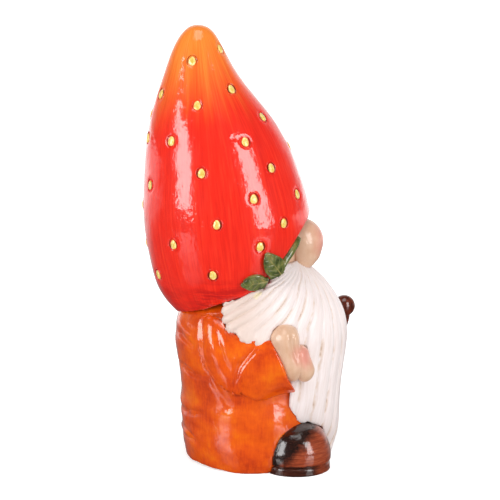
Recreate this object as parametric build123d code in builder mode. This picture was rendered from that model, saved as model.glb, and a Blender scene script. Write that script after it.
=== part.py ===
"""Garden gnome in a berry hat: a hollow glazed figure, built from its moulded pieces.

Millimetres. +Z is up, the gnome looks towards -Y and its right side is at -X.
The origin is the centre of the flat face that the figure rests on.
A section of a form is a level ellipse: (height, centre, half depth, half width), each a share
of that form's own height, depth and width.
"""
from math import cos, radians, sin
from build123d import *
import os

os.makedirs("parts", exist_ok=True)

# ---- Making ---------------------------------------------------------------------------------
FIT = 0.3               # gap between two curved faces that are luted together
WALL = 5.0              # slip-cast wall
FAR = 300.0             # reach of a cutting solid, past any piece

# ---- Coat -----------------------------------------------------------------------------------
COAT_HEIGHT = 160.0     # ground to the ring that the head stands on
COAT_DEPTH = 130.0
COAT_WIDTH = 142.0
COAT_SECTIONS = (
    (0.00, -0.015, 0.940, 0.965),
    (0.04, -0.030, 0.980, 1.000),
    (0.32, -0.010, 1.010, 1.010),
    (0.66, 0.049, 1.020, 1.000),
    (0.84, 0.085, 0.960, 0.925),
    (0.94, 0.095, 0.810, 0.790),
    (1.00, 0.062, 0.630, 0.620),
)
NECK_DIAMETER = 44.0    # opening in the ring under the head
BASE_THICKNESS = 6.0
VENT_DIAMETER = 16.0    # firing vent in the base, also the drain

# ---- Head and nose --------------------------------------------------------------------------
HEAD_HEIGHT = 78.0
HEAD_DEPTH = 80.0
HEAD_WIDTH = 88.0
HEAD_SECTIONS = (
    (0.00, 0.00, 0.90, 0.91),
    (0.40, -0.10, 1.00, 1.00),
    (0.75, -0.15, 0.86, 0.82),
    (1.00, -0.08, 0.30, 0.30),
)
NOSE_LEVEL = 42.0       # nose centre above the ring
NOSE_REACH = 46.5       # nose centre in front of the origin
NOSE_DIAMETER = 41.0
NOSE_ROOT_DIAMETER = 29.0    # the narrower foot of the nose, on the beard
NOSE_ROOT_DROP = 13.0
PEG_DIAMETER = 12.0
PEG_LENGTH = 13.0       # from the nose's centre into the head

# ---- Hat ------------------------------------------------------------------------------------
HAT_HEIGHT = 262.0
HAT_DEPTH = 154.0
HAT_WIDTH = 148.0
HAT_LAP = 22.0          # how far the hat comes down over the coat's shoulders
HAT_SECTIONS = (
    (0.000, 0.308, 0.568),
    (0.030, 0.299, 0.668),
    (0.090, 0.282, 0.818),
    (0.180, 0.260, 0.930),
    (0.320, 0.270, 0.992),
    (0.489, 0.334, 0.919),
    (0.600, 0.396, 0.825),
    (0.714, 0.490, 0.653),
    (0.840, 0.585, 0.425),
    (0.935, 0.610, 0.273),
    (0.985, 0.604, 0.150),
    (1.000, 0.604, 0.050),
)
HAT_TIP_SECTIONS = 2    # sections above the hollow, where the tip is solid
RIM_LEVEL = 30.0        # cheek corner of the face opening above the hat's lowest edge
RIM_BACK = -11.0        # the same corner, front to back
RIM_ANGLE = 54.7        # rise of the opening from the cheek to the brow
RIM_TAIL = ((36, -13), (51, -20))    # from that corner, the rim behind the cheek

# ---- Seeds: columns of heights above the hat's lowest edge, by angle from the front ------------
SEED_WIDTH = 7.4
SEED_LENGTH = 9.2
SEED_THICKNESS = 2.4
DIMPLE_DIAMETER = 12.0
DIMPLE_FLOOR = 9.8
DIMPLE_DEPTH = 1.6
SEED_SLIP = 9.0         # how much lower the seeds sit on the left side
SIDE_COLUMNS = {
    24: (242, 182, 113),
    44: (208, 140, 91),
    66: (164, 115, 72),
    101: (233, 196, 138, 93, 46),
    130: (164, 72),
    156: (202, 161, 121, 38),
}
MIDDLE_COLUMNS = {3: (152,), 180: (182, 98, 62)}

# ---- Leaves: points on the side of the hat, from the cheek corner of the face opening -----------
LEAF_THICKNESS = 3.0
SIDE_LEAF = ((-8, 10), (-2, 25), (-3, 36), (-13, 32), (-20, 24))
BACK_LEAF = ((-6, 11), (6, 16), (19, 7), (10, 1.5), (2, 2.5))
FRONT_LEAF_LENGTH = 40.0
FRONT_LEAF_WIDTH = 10.0
FRONT_LEAF_PLACE = (-41.0, 43.0)
FRONT_LEAF_TURN = 52.0

# ---- Beard ----------------------------------------------------------------------------------
BEARD_HEIGHT = 192.0
BEARD_DEPTH = 150.0
BEARD_WIDTH = 146.0
BEARD_SECTIONS = (
    (0.00, -0.667, 0.333, 0.220),
    (0.12, -0.620, 0.460, 0.480),
    (0.26, -0.480, 0.627, 0.800),
    (0.48, -0.373, 0.787, 0.940),
    (0.68, -0.200, 0.973, 1.000),
    (0.84, -0.080, 0.880, 0.863),
    (1.00, 0.000, 0.587, 0.740),
)
BEARD_EDGE = (
    (0, 192), (24, 160), (25, 148), (20, 136), (8, 124), (-4, 119.5), (-16, 121),
    (-26, 116), (-34, 95), (-37, 75), (-36, 62), (-43, 44), (-40, 20), (-40, 0),
)

# ---- Sleeves: upright sections (front to back, sideways, height, half width, half height) -------
CUFF_LEVEL = 103.0
CUFF_ANGLE = 23.6       # lean of the right cuff
RIGHT_CUFF = -29.5
RIGHT_SLEEVE = (
    (47, -47, 126, 8, 11),
    (32, -49, 115, 21, 31),
    (10, -51, 107, 25, 36),
    (-14, -54, 104, 27, 33),
    (-48, -56, 101, 23, 28),
)
LEFT_CUFF = -54.0
LEFT_SLEEVE = (
    (47, 47, 126, 8, 11),
    (32, 49, 115, 21, 31),
    (10, 51, 106, 25, 36),
    (-20, 55, 94, 24, 31),
    (-56, 61, 80, 17, 20),
)

# ---- Hands: mitts (place, half length, radius) ----------------------------------------------------
RIGHT_PALM = ((-68, -35, 112), 27, 13)
RIGHT_FINGERS = ((-67, -49, 102), 18, 10)
RIGHT_HAND_TURN = -14.0
LEFT_PALM = ((64, -62, 75), 17, 14)
FINGER_DIAMETER = 7.6
FINGER_PITCH = 7.2
LEFT_FINGERS = 4

# ---- Stick ----------------------------------------------------------------------------------
STICK_DIAMETER = 9.0
STICK_TOP = (50.0, -88.5, 129.0)
STICK_FOOT = (84.0, -60.0, 0.0)
KNOB_DIAMETER = 20.0
KNOB_SOCKET = 6.0       # how far the stick goes into the knob

# ---- Boots ----------------------------------------------------------------------------------
SOLE_HEIGHT = 7.5
BOOT_HEIGHT = 37.0      # upper, above the sole
BOOT_LENGTH = 62.0
BOOT_WIDTH = 66.0
BOOT_SPACING = 92.0     # between the centres of the two boots
BOOT_REACH = 42.0       # boot centre in front of the origin
WELT = 2.0              # chamfer each side of the groove over the sole
BOOT_SECTIONS = (
    (0.00, 1.000),
    (0.28, 1.010),
    (0.62, 0.880),
    (0.84, 0.660),
    (0.96, 0.380),
    (1.00, 0.160),
)

# Levels that follow from the sizes above
HAT_SEAT = COAT_HEIGHT - HAT_LAP
RIM_CORNER = (RIM_BACK, HAT_SEAT + RIM_LEVEL)


def stack(sections, height, depth, width, floor=0.0, grow=0.0):
    """Loft level ellipses into one form, grown by a gap on all sides."""
    last = len(sections) - 1
    with BuildPart() as form:
        for index, (level, centre, half_depth, *half_width) in enumerate(sections):
            end = grow if index == last else -grow if index == 0 else 0
            with BuildSketch(Plane.XY.offset(floor + level * height + end)):
                with Locations((0, centre * depth / 2)):
                    across = (half_width or [half_depth])[0]
                    Ellipse(across * width / 2 + grow, half_depth * depth / 2 + grow)
        loft()
    return form.part


def coat_form(grow=0.0):
    return stack(COAT_SECTIONS, COAT_HEIGHT, COAT_DEPTH, COAT_WIDTH, 0, grow)


def head_form(grow=0.0):
    return stack(HEAD_SECTIONS, HEAD_HEIGHT, HEAD_DEPTH, HEAD_WIDTH, COAT_HEIGHT, grow)


def hat_form(grow=0.0, sections=HAT_SECTIONS):
    return stack(sections, HAT_HEIGHT, HAT_DEPTH, HAT_WIDTH, HAT_SEAT, grow)


def face_opening(shrink=0.0):
    """The space below and in front of the hat's rim."""
    corner_y, corner_z = RIM_CORNER
    rise = radians(RIM_ANGLE)
    brow = (corner_y - FAR * cos(rise), corner_z + FAR * sin(rise) - shrink)
    with BuildPart() as opening:
        with BuildSketch(Plane.YZ):
            Polygon(
                (corner_y, corner_z - shrink),
                brow,
                (-FAR, -FAR),
                (corner_y + RIM_TAIL[-1][0], -FAR),
                *((corner_y + back, corner_z + drop - shrink) for back, drop in RIM_TAIL[::-1]),
                align=None,
            )
        extrude(amount=FAR, both=True)
    return opening.part


def mitt(place, half_length, radius, grow=0.0, turn=0.0):
    """A closed round form with a long upright axis, turned about X."""
    middle = 2 * (half_length - radius)
    with BuildPart() as form:
        Cylinder(radius + grow, middle)
        with Locations((0, 0, middle / 2), (0, 0, -middle / 2)):
            Sphere(radius + grow)
    return Pos(*place) * Rot(turn, 0, 0) * form.part


def nose_form(grow=0.0):
    """A ball with a narrower foot that widens it downwards."""
    level = COAT_HEIGHT + NOSE_LEVEL
    with BuildPart() as form:
        with Locations((0, -NOSE_REACH, level)):
            Sphere(NOSE_DIAMETER / 2 + grow)
        with Locations((0, -NOSE_REACH + 3, level - NOSE_ROOT_DROP)):
            Sphere(NOSE_ROOT_DIAMETER / 2 + grow)
    return form.part


def boot_form(grow=0.0):
    """The right boot with its sole, as one closed block."""
    top = len(BOOT_SECTIONS) - 1
    with BuildPart() as form:
        with BuildSketch(Plane.XY.offset(-grow)):
            with Locations((-BOOT_SPACING / 2, -BOOT_REACH)):
                Ellipse(BOOT_WIDTH / 2 + grow, BOOT_LENGTH / 2 + grow)
        for index, (level, share) in enumerate(BOOT_SECTIONS):
            end = grow if index == top else 0
            with BuildSketch(Plane.XY.offset(SOLE_HEIGHT + level * BOOT_HEIGHT + end)):
                with Locations((-BOOT_SPACING / 2, -BOOT_REACH)):
                    Ellipse(share * BOOT_WIDTH / 2 + grow, share * BOOT_LENGTH / 2 + grow)
        loft()
    return form.part


def beard_form(grow=0.0):
    """The beard's outer shape: a stack of ellipses, trimmed to its edge as seen from the side."""
    edge = ((back + grow, level - grow) for back, level in BEARD_EDGE)
    with BuildPart() as side:
        with BuildSketch(Plane.YZ):
            Polygon((-FAR, FAR), (BEARD_EDGE[0][0] + grow, FAR), *edge, (-FAR, 0), align=None)
        extrude(amount=FAR, both=True)
    return stack(BEARD_SECTIONS, BEARD_HEIGHT, BEARD_DEPTH, BEARD_WIDTH, 0, grow) & side.part


def sleeve_form(sections, cuff_place, cuff_angle):
    """Loft upright ellipses from the shoulder forwards, and cut them off at the cuff."""
    lean = radians(cuff_angle)
    cuff = Plane(origin=cuff_place, x_dir=(1, 0, 0), z_dir=(0, -cos(lean), sin(lean)))
    with BuildPart() as form:
        for back, sideways, level, half_width, half_height in sections:
            with BuildSketch(Plane.XZ.offset(-back)):
                with Locations((sideways, level)):
                    Ellipse(half_width, half_height)
        loft()
        split(bisect_by=cuff, keep=Keep.BOTTOM)
    return form.part


def right_hand_form(grow=0.0):
    """The back of the hand, and the fingers closed in front of it."""
    palm = mitt(*RIGHT_PALM, grow, RIGHT_HAND_TURN)
    return palm + mitt(*RIGHT_FINGERS, grow, RIGHT_HAND_TURN)


def stick_point(level):
    """The stick's middle at a height."""
    share = (level - STICK_FOOT[2]) / (STICK_TOP[2] - STICK_FOOT[2])
    return Vector(STICK_FOOT) + (Vector(STICK_TOP) - Vector(STICK_FOOT)) * share


def stick_form(top, grow=0.0):
    """The stick from below the ground up to a height."""
    foot = stick_point(-STICK_DIAMETER)
    length = (stick_point(top) - foot).length
    axis = Plane(origin=foot, z_dir=Vector(STICK_TOP) - Vector(STICK_FOOT))
    with BuildPart(axis) as form:
        radius = STICK_DIAMETER / 2 + grow
        Cylinder(radius, length, align=(Align.CENTER, Align.CENTER, Align.MIN))
    return form.part


def left_hand_form(grow=0.0):
    """A fist: the back of the hand, and fingers rolled round the stick."""
    lowest = LEFT_PALM[0][2] - FINGER_PITCH * (LEFT_FINGERS - 1) / 2
    along = Vector(STICK_TOP) - Vector(STICK_FOOT)
    with BuildPart() as form:
        add(mitt(*LEFT_PALM, grow))
        for finger in range(LEFT_FINGERS):
            with Locations(Plane(origin=stick_point(lowest + finger * FINGER_PITCH), z_dir=along)):
                Torus(STICK_DIAMETER / 2, FINGER_DIAMETER / 2 + grow)
    return form.part


def lens(length, width):
    """A leaf outline: two arcs that meet in points."""
    with BuildSketch() as outline:
        with BuildLine():
            ThreePointArc((-length / 2, 0), (0, width / 2), (length / 2, 0))
            ThreePointArc((length / 2, 0), (0, -width / 2), (-length / 2, 0))
        make_face()
    return outline.sketch


def beside_cheek(point):
    """A point on the side view, from the cheek corner of the face opening."""
    return (RIM_CORNER[0] + point[0], RIM_CORNER[1] + point[1])


def leaf_on_hat(points):
    """A leaf that hugs the hat: its outline, thrown sideways onto a skin over the hat."""
    base, upper, tip, *lower = map(beside_cheek, points)
    with BuildPart() as leaf:
        with BuildSketch(Plane.YZ):
            with BuildLine():
                Spline(base, upper, tip)
                Spline(tip, *lower, base)
            make_face()
        extrude(amount=-FAR)
        add(hat_form(FIT + LEAF_THICKNESS), mode=Mode.INTERSECT)
        add(hat_form(FIT), mode=Mode.SUBTRACT)
    return leaf.part


def save(piece, name):
    """Label a piece and write it as its own node."""
    piece.label = name
    export_step(piece, f"parts/{name}.step")


# ---- Forms that several pieces are cut by, grown by the luting gap -------------------------------
coat_gap = coat_form(FIT)
head_gap = head_form(FIT)
nose_gap = nose_form(FIT)
hat_gap = hat_form(FIT)
beard_gap = beard_form(FIT)
right_boot_gap = boot_form(FIT)
right_hand_gap = right_hand_form(FIT)
left_hand_gap = left_hand_form(FIT)
stick_gap = stick_form(STICK_TOP[2] - KNOB_DIAMETER / 2 + KNOB_SOCKET + FIT, FIT)

# ---- Coat: a hollow shell, closed below by a slab with the vent ---------------------------------
with BuildPart() as coat_shell:
    add(coat_form())
    add(coat_form(-WALL), mode=Mode.SUBTRACT)
    with BuildSketch():
        with Locations((0, COAT_SECTIONS[0][1] * COAT_DEPTH / 2)):
            Ellipse(
                COAT_SECTIONS[0][3] * COAT_WIDTH / 2 - WALL,
                COAT_SECTIONS[0][2] * COAT_DEPTH / 2 - WALL,
            )
    extrude(amount=BASE_THICKNESS, mode=Mode.SUBTRACT)
    with BuildSketch(Plane.XY.offset(COAT_HEIGHT)):
        Circle(NECK_DIAMETER / 2)
    extrude(amount=-2 * WALL, mode=Mode.SUBTRACT)
save(coat_shell.part, "coat_shell")

with BuildPart() as base_slab:
    with BuildSketch():
        with Locations((0, COAT_SECTIONS[0][1] * COAT_DEPTH / 2)):
            Ellipse(
                COAT_SECTIONS[0][3] * COAT_WIDTH / 2 - WALL - FIT,
                COAT_SECTIONS[0][2] * COAT_DEPTH / 2 - WALL - FIT,
            )
        Circle(VENT_DIAMETER / 2, mode=Mode.SUBTRACT)
    extrude(amount=BASE_THICKNESS)
save(base_slab.part, "base_slab")

# ---- Head: a hollow knob on the coat's ring, with a hole for the nose's peg ----------------------
nose_axis = Plane(origin=(0, -NOSE_REACH, COAT_HEIGHT + NOSE_LEVEL), z_dir=(0, 1, 0))
from_nose = (Align.CENTER, Align.CENTER, Align.MIN)
with BuildPart() as head_core:
    add(head_form())
    add(head_form(-WALL), mode=Mode.SUBTRACT)
    with BuildSketch(Plane.XY.offset(COAT_HEIGHT)):
        Circle(NECK_DIAMETER / 2)
    extrude(amount=2 * WALL, mode=Mode.SUBTRACT)
    with Locations(nose_axis):
        Cylinder(PEG_DIAMETER / 2 + FIT, PEG_LENGTH + WALL, align=from_nose, mode=Mode.SUBTRACT)
save(head_core.part, "head_core")

with BuildPart() as nose:
    add(nose_form())
    add(head_gap, mode=Mode.SUBTRACT)
    with Locations(nose_axis):
        Cylinder(PEG_DIAMETER / 2, PEG_LENGTH, align=from_nose)
save(nose.part, "nose")

# ---- Hat: a hollow cone with a face opening and a dimple for every seed --------------------------
def seed_places():
    """The hat's surface at each seed, facing out."""
    skin = hat_form()
    columns = [(-angle, heights, 0) for angle, heights in SIDE_COLUMNS.items()]
    columns += [(angle, heights, SEED_SLIP) for angle, heights in SIDE_COLUMNS.items()]
    columns += [(angle, heights, 0) for angle, heights in MIDDLE_COLUMNS.items()]
    places = []
    for angle, heights, slip in columns:
        outwards = Vector(sin(radians(angle)), -cos(radians(angle)), 0)
        for height in heights:
            level = height - slip
            above = [s for s in HAT_SECTIONS if s[0] * HAT_HEIGHT >= level][0]
            middle = Vector(0, above[1] * HAT_DEPTH / 2, HAT_SEAT + level)
            hits = skin.find_intersection_points(Axis(middle, outwards))
            point, normal = max(hits, key=lambda hit: (hit[0] - middle).dot(outwards))
            level_line = Vector(0, 0, 1).cross(normal)
            places.append(Plane(origin=point, x_dir=level_line, z_dir=normal))
    return places


seeds = seed_places()

with BuildPart() as hat_shell:
    add(hat_form())
    add(hat_form(-WALL, HAT_SECTIONS[:-HAT_TIP_SECTIONS]), mode=Mode.SUBTRACT)
    add(face_opening(), mode=Mode.SUBTRACT)
    add(coat_gap, mode=Mode.SUBTRACT)
    with Locations(*(place.offset(-DIMPLE_DEPTH) for place in seeds)):
        Cone(
            DIMPLE_FLOOR / 2,
            DIMPLE_DIAMETER - DIMPLE_FLOOR / 2,
            2 * DIMPLE_DEPTH,
            align=(Align.CENTER, Align.CENTER, Align.MIN),
            mode=Mode.SUBTRACT,
        )
save(hat_shell.part, "hat_shell")

with BuildPart() as seed:
    with BuildSketch():
        Ellipse(SEED_WIDTH / 2, SEED_LENGTH / 2)
    extrude(amount=SEED_THICKNESS)
    chamfer(seed.faces().sort_by(Axis.Z)[-1].edges(), SEED_THICKNESS / 3)

with BuildPart() as hat_seeds:
    with Locations(*(place.offset(FIT - DIMPLE_DEPTH) for place in seeds)):
        add(seed.part)
save(hat_seeds.part, "hat_seeds")

# ---- Leaves: three on each side, along the rim ---------------------------------------------------
rise = radians(RIM_ANGLE)
rim_face = Plane(
    origin=(0, *RIM_CORNER), x_dir=(1, 0, 0), z_dir=(0, -sin(rise), -cos(rise))).offset(FIT)
with BuildPart() as front_leaf:
    with BuildSketch(rim_face):
        with Locations(Location(FRONT_LEAF_PLACE, FRONT_LEAF_TURN)):
            add(lens(FRONT_LEAF_LENGTH, FRONT_LEAF_WIDTH))
    extrude(amount=LEAF_THICKNESS)

right_leaves = {
    "front_leaf": front_leaf.part,
    "side_leaf": leaf_on_hat(SIDE_LEAF),
    "back_leaf": leaf_on_hat(BACK_LEAF),
}
for name, leaf in right_leaves.items():
    save(leaf, f"right_{name}")
    save(mirror(leaf, about=Plane.YZ), f"left_{name}")

# ---- Stick: a shaft that stands on the ground, with a knob on top --------------------------------
with BuildPart() as stick_shaft:
    add(stick_form(STICK_TOP[2] - KNOB_DIAMETER / 2 + KNOB_SOCKET))
    split(bisect_by=Plane.XY, keep=Keep.TOP)
save(stick_shaft.part, "stick_shaft")

with BuildPart() as stick_knob:
    with Locations(STICK_TOP):
        Sphere(KNOB_DIAMETER / 2)
    add(stick_gap, mode=Mode.SUBTRACT)
save(stick_knob.part, "stick_knob")

# ---- Hands --------------------------------------------------------------------------------------
with BuildPart() as right_hand:
    add(right_hand_form())
    add(coat_gap, mode=Mode.SUBTRACT)
save(right_hand.part, "right_hand")

with BuildPart() as left_hand:
    add(left_hand_form())
    add(coat_gap, mode=Mode.SUBTRACT)
    add(stick_gap, mode=Mode.SUBTRACT)
save(left_hand.part, "left_hand")

# ---- Boots and soles ----------------------------------------------------------------------------
with BuildPart() as right_boot:
    add(boot_form())
    add(coat_gap, mode=Mode.SUBTRACT)
    split(bisect_by=Plane.XY.offset(SOLE_HEIGHT), keep=Keep.TOP)
    chamfer(right_boot.faces().sort_by(Axis.Z)[0].edges().sort_by(Axis.Y)[0], WELT)
save(right_boot.part, "right_boot")
save(mirror(right_boot.part, about=Plane.YZ), "left_boot")

with BuildPart() as right_sole:
    add(boot_form())
    add(coat_gap, mode=Mode.SUBTRACT)
    split(bisect_by=Plane.XY.offset(SOLE_HEIGHT), keep=Keep.BOTTOM)
    chamfer(right_sole.faces().sort_by(Axis.Z)[-1].edges().sort_by(Axis.Y)[0], WELT)
save(right_sole.part, "right_sole")
save(mirror(right_sole.part, about=Plane.YZ), "left_sole")

# ---- Beard: luted to coat and head, under the rim, behind the hands and over the boots -----------
with BuildPart() as beard:
    add(beard_form())
    add(coat_gap, mode=Mode.SUBTRACT)
    add(head_gap, mode=Mode.SUBTRACT)
    add(hat_gap - face_opening(2 * FIT), mode=Mode.SUBTRACT)
    add(nose_gap, mode=Mode.SUBTRACT)
    add(right_boot_gap, mode=Mode.SUBTRACT)
    add(mirror(right_boot_gap, about=Plane.YZ, mode=Mode.PRIVATE), mode=Mode.SUBTRACT)
    add(right_hand_gap, mode=Mode.SUBTRACT)
    add(left_hand_gap, mode=Mode.SUBTRACT)
save(beard.part, "beard")

# ---- Sleeves: over the coat, under the beard, each holding a hand --------------------------------
right_cuff = (RIGHT_SLEEVE[-1][1], RIGHT_CUFF, CUFF_LEVEL)
with BuildPart() as right_sleeve:
    add(sleeve_form(RIGHT_SLEEVE, right_cuff, CUFF_ANGLE))
    add(coat_gap, mode=Mode.SUBTRACT)
    add(beard_gap, mode=Mode.SUBTRACT)
    add(right_hand_gap, mode=Mode.SUBTRACT)
save(right_sleeve.part, "right_sleeve")

left_cuff = (LEFT_SLEEVE[-1][1], LEFT_CUFF, LEFT_SLEEVE[-1][2])
with BuildPart() as left_sleeve:
    add(sleeve_form(LEFT_SLEEVE, left_cuff, 0))
    add(coat_gap, mode=Mode.SUBTRACT)
    add(beard_gap, mode=Mode.SUBTRACT)
    add(left_hand_gap, mode=Mode.SUBTRACT)
save(left_sleeve.part, "left_sleeve")
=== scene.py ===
# %% [markdown]
# # A glazed garden gnome in a berry hat
# The figure is slip-cast earthenware, painted by hand and fired under a thick clear glaze. Its pieces
# were moulded one by one and stuck together with slip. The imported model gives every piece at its
# true size and place, so this lesson only has to turn plain castings into modelled, painted ones.

# %% The frame and the tools
from math import cos, pi, radians, sin

import bpy
import numpy as np
from mathutils import Matrix, Vector, noise
from mathutils.bvhtree import BVHTree


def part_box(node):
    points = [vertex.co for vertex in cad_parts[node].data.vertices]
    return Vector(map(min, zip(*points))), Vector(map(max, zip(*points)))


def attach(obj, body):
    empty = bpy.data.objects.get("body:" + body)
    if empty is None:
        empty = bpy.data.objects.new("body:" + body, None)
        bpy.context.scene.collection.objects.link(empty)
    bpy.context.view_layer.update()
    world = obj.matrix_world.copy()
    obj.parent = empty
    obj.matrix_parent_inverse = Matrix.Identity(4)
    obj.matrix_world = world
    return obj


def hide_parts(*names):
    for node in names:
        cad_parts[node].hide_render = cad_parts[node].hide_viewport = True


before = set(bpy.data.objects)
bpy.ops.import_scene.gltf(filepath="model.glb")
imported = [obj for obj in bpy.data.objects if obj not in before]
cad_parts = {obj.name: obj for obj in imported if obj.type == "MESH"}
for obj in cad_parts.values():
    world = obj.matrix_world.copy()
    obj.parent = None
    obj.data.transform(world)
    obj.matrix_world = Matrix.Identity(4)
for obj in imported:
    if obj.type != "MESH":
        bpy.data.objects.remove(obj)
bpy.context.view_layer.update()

MM = 0.001               # one millimetre in scene units

# %% [markdown]
# ## Clay
# A CAD copy has knife-sharp edges and long thin triangles. Wet clay has neither. A voxel remesh gives
# small even faces that can be pushed about, and a few rounds of smoothing wipe the edges with a
# wet sponge. The copy has a mesh of its own, so the frame itself isn't touched.


# %% Pick a piece, and apply a modifier
def pick(piece):
    """Select one piece and nothing else."""
    bpy.ops.object.select_all(action="DESELECT")
    piece.select_set(True)
    bpy.context.view_layer.objects.active = piece


def finish_with(piece, kind, **settings):
    """Add a modifier with its settings, and apply it."""
    pick(piece)
    bpy.ops.object.modifier_add(type=kind)
    modifier = piece.modifiers[-1]
    for name, value in settings.items():
        setattr(modifier, name, value)
    bpy.ops.object.modifier_apply(modifier=modifier.name)


# %% Cast a piece in clay
def copy_casting(node, name):
    """Copy a node, with a mesh of its own whose triangles are joined at their corners."""
    piece = bpy.data.objects.new(name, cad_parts[node].data.copy())
    bpy.context.scene.collection.objects.link(piece)
    piece.data.materials.clear()
    pick(piece)
    bpy.ops.object.mode_set(mode="EDIT")
    bpy.ops.mesh.select_all(action="SELECT")
    bpy.ops.mesh.remove_doubles(threshold=0.001 * MM)
    bpy.ops.object.mode_set(mode="OBJECT")
    return piece


def cast(name, node, grain, sponge):
    """A node in clay, in even faces `grain` millimetres wide, its edges wiped `sponge` times."""
    piece = copy_casting(node, name)
    finish_with(piece, "REMESH", mode="VOXEL", voxel_size=grain * MM)
    finish_with(piece, "SMOOTH", factor=0.5, iterations=sponge)
    bpy.ops.object.shade_smooth()
    piece.name = piece.data.name = name
    print(name, "faces:", len(piece.data.polygons))
    return piece


# %% [markdown]
# ## Modelling by pushing
# A potter pushes clay in and out along its surface. `push` does that: it asks a function how far
# each point moves, in millimetres, given where the points are. `shift` moves points in any direction.
# Creases, rolls and the small unevenness of a hand-finished casting are all such functions.


# %% Push and shift
def points_of(piece):
    """Every point of a piece, in millimetres."""
    flat = np.empty(len(piece.data.vertices) * 3)
    piece.data.vertices.foreach_get("co", flat)
    return flat.reshape(-1, 3) / MM


def put_points(piece, points):
    """Give every point of a piece its place, in millimetres."""
    piece.data.vertices.foreach_set("co", (points * MM).ravel())
    piece.data.update()
    return piece


def push(piece, how_far):
    """Move every point along its normal by how_far(points) millimetres, but not into the ground."""
    points = points_of(piece)
    normals = np.empty(len(points) * 3, np.float32)
    piece.data.vertex_normals.foreach_get("vector", normals)
    moved = points + normals.reshape(-1, 3) * how_far(points)[:, None]
    moved[:, 2] = np.maximum(moved[:, 2], 0)
    return put_points(piece, moved)


def shift(piece, how):
    """Move every point by how(points), in millimetres along the three axes."""
    points = points_of(piece)
    return put_points(piece, points + how(points))


def mark(piece, name, values):
    """Store a number or a vector on every point, for a material to read."""
    kind, key = ("FLOAT_VECTOR", "vector") if values.ndim == 2 else ("FLOAT", "value")
    layer = piece.data.attributes.new(name, kind, "POINT")
    layer.data.foreach_set(key, values.astype(np.float32).ravel())


# %% Unevenness and creases
ROLL_AWAY, ROLL_WIDTH = 2.4, 1.6     # the roll beside a crease, in widths of the crease
ROLL_HEIGHT = 0.35                   # as a share of the crease's depth


def near(value, middle, reach):
    """1 at the middle, fading to 0 over the reach."""
    return np.exp(-(((value - middle) / reach) ** 2))


def uneven(points, size, start):
    """Smooth random heights from -1 to 1. size is the width of a bump in millimetres, per axis."""
    places = points / np.array(size) + start
    return np.array([noise.noise(Vector(place)) for place in places])


def along(points, line):
    """Each point's distance from a bent line, and its place along it from 0 to 1."""
    best = np.full(len(points), np.inf)
    place = np.zeros(len(points))
    line = np.array(line, float)
    spans = len(line) - 1
    for index in range(spans):
        start, span = line[index], line[index + 1] - line[index]
        share = np.clip((points - start) @ span / (span @ span), 0, 1)
        distance = np.linalg.norm(points - start - share[:, None] * span, axis=1)
        nearer = distance < best
        best[nearer] = distance[nearer]
        place[nearer] = (index + share[nearer]) / spans
    return best, place


def mirrored(line):
    """The same bent line on the other side of the figure."""
    return tuple((-x, y, z) for x, y, z in line)


def away_from(points, line):
    """Each point's distance from a bent line or from its mirror image, whichever is nearer."""
    return np.minimum(along(points, line)[0], along(points, mirrored(line))[0])


def crease(points, line, depth, width):
    """A groove along a bent line, shallower towards its ends, with a soft roll on each side."""
    distance, place = along(points, line)
    fade = np.sin(pi * np.clip(place * 0.86 + 0.07, 0, 1)) ** 0.6
    roll = near(distance, ROLL_AWAY * width, ROLL_WIDTH * width)
    return depth * fade * (ROLL_HEIGHT * roll - near(distance, 0, width))


# %% [markdown]
# ## Paint and glaze
# Each colour is a ceramic stain brushed on biscuit, so it is streaky, and thin where the brush
# lifted. Over it lies clear glaze, a layer of glass: smooth, wavy on the scale of a finger, with a
# few pinholes. The Principled shader has just this build: a rougher painted base under a coat.


# %% Colours as written in paint charts
def stain(code):
    """An sRGB hex colour as linear light."""
    channels = [int(code[i:i + 2], 16) / 255 for i in (1, 3, 5)]
    return (*(c / 12.92 if c <= 0.04045 else ((c + 0.055) / 1.055) ** 2.4 for c in channels), 1)


# %% One helper for every node
EASED = {"interpolation_type": "SMOOTHSTEP"}     # for a Map Range with soft ends
COLOURS = {"data_type": "RGBA"}                  # for a Mix of two colours


def add(tree, kind, inputs=(), stops=(), **settings):
    """Add a shader node with its settings and links.

    inputs maps a socket's name or number to a value, a hex colour, an output, or a node, which
    gives its first output in use. stops are a colour ramp's places and hex colours.
    """
    made = tree.nodes.new("ShaderNode" + kind)
    for name, value in settings.items():
        setattr(made, name, value)
    for socket, value in dict(inputs).items():
        if isinstance(value, bpy.types.Node):
            value = next(output for output in value.outputs if output.enabled)
        if isinstance(value, bpy.types.NodeSocket):
            tree.links.new(value, made.inputs[socket])
        else:
            made.inputs[socket].default_value = stain(value) if isinstance(value, str) else value
    if stops:
        elements = made.color_ramp.elements
        while len(elements) < len(stops):
            elements.new(1)
        for element, (place, code) in zip(elements, stops):
            element.position, element.color = place, stain(code)
    return made


def streaks(tree, where, size, detail=3, rough=0.6):
    """Brush streaks: noise whose spots are size = (x, y, z) millimetres in the coordinates `where`."""
    scale = [1 / (side * MM) for side in size]
    placed = add(tree, "Mapping", {"Vector": where, "Scale": scale})
    return add(tree, "TexNoise", {"Vector": placed, "Scale": 1, "Detail": detail, "Roughness": rough})


# %% The clear glaze over any paint
GLAZE_IOR = 1.70         # a soft lead-free glaze bends light more than window glass does
STAIN_SHINE = 0.08       # the stain lies inside the glass, so it hardly shines by itself
WAVE = 20                # millimetres between the slow waves in the glaze
WAVE_HEIGHT = 1.1
DRAG = (4.5, 4.5, 6.5)   # a brush mark that the glaze hasn't quite levelled
DRAG_HEIGHT = 0.34
PINHOLE = 1.6            # drawn coarser than real pinholes, so that they still show
PINHOLE_DEPTH = 0.12


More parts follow.
